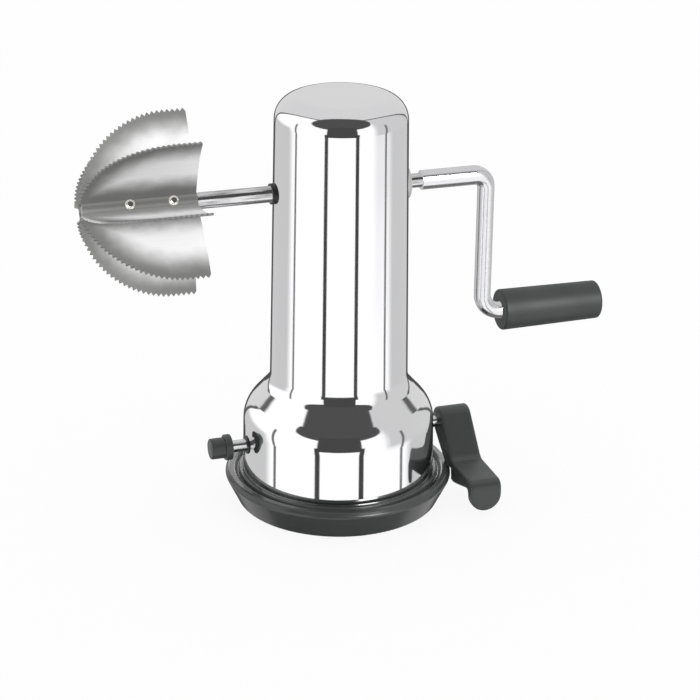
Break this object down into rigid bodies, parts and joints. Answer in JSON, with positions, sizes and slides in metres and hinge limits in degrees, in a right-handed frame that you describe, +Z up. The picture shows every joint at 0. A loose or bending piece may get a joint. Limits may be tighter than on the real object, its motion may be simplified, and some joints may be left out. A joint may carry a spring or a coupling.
{
  "type": "hand crank coconut grater",
  "caption": "Table coconut grater: hand cranked shaft with toothed blade channels through a steel tube on a lever operated suction base.",
  "frame": {"origin": "centre of the underside of the base ring, on the table", "axes": "+Z up, +X along the main shaft towards the crank, -Y towards the user, where the lever swings out"},
  "size_m": [0.2681, 0.1142, 0.2102],
  "materials": {
    "polished_shell": "mirror polished stainless sheet",
    "blade_sheet": "bright rolled stainless sheet",
    "weld_steel": "polished weld beads",
    "bright_rod": "bright ground steel rod",
    "zinc_steel": "zinc plated steel",
    "spring_steel": "oiled spring steel",
    "black_steel": "blackened steel",
    "black_moulding": "satin black moulding",
    "grip_moulding": "matt black moulding",
    "plate_moulding": "matt black moulding",
    "black_bush": "matt black nylon",
    "pale_bush": "pale grey nylon",
    "pad_rubber": "soft black rubber"
  },
  "bodies": {
    "base": {"body_tube": "polished_shell", "body_skirt": "polished_shell", "base_ring": "black_moulding", "base_plate": "plate_moulding", "base_screws": "zinc_steel", "suction_pad": "pad_rubber", "return_spring": "spring_steel", "blade_side_bush": "black_bush", "crank_side_bush": "pale_bush", "cross_shaft_bushes": "black_bush"},
    "rotor": {"drive_shaft": "bright_rod", "thrust_washer": "zinc_steel", "shaft_collar": "zinc_steel", "collar_screw": "black_steel", "blade_channel_1": "blade_sheet", "blade_channel_2": "blade_sheet", "blade_channel_3": "blade_sheet", "blade_channel_4": "blade_sheet", "blade_welds": "weld_steel", "crank_arm": "bright_rod", "grip_washer": "zinc_steel", "grip_screw": "zinc_steel"},
    "grip": {"hand_grip": "grip_moulding", "grip_cap": "grip_moulding"},
    "lever": {"cross_shaft": "bright_rod", "cross_shaft_clips": "spring_steel", "cam": "zinc_steel", "cam_pin": "spring_steel", "end_knob": "black_moulding", "lever_arm": "black_moulding", "lever_screw": "zinc_steel", "lever_washer": "zinc_steel"},
    "lift": {"pull_stud": "zinc_steel", "pad_disc": "zinc_steel"}
  },
  "joints": [
    {"name": "crank_spin", "type": "hinge", "parent": "base", "child": "rotor", "pos_m": [0, 0, 0.1639], "axis": [1, 0, 0], "continuous": true},
    {"name": "grip_spin", "type": "hinge", "parent": "rotor", "child": "grip", "pos_m": [0.11, 0, 0.0907], "axis": [1, 0, 0], "continuous": true},
    {"name": "lever_turn", "type": "hinge", "parent": "base", "child": "lever", "pos_m": [0, 0, 0.033], "axis": [-1, 0, 0], "range_deg": [0, 120]},
    {"name": "suction_lift", "type": "slide", "parent": "base", "child": "lift", "axis": [0, 0, -1], "range_m": [0, 0.004], "deforming": ["suction_pad", "return_spring"]}
  ],
  "couplings": [
    {"joint": "suction_lift", "follows": "lever_turn", "m_per_rad": 0.0019098}
  ]
}
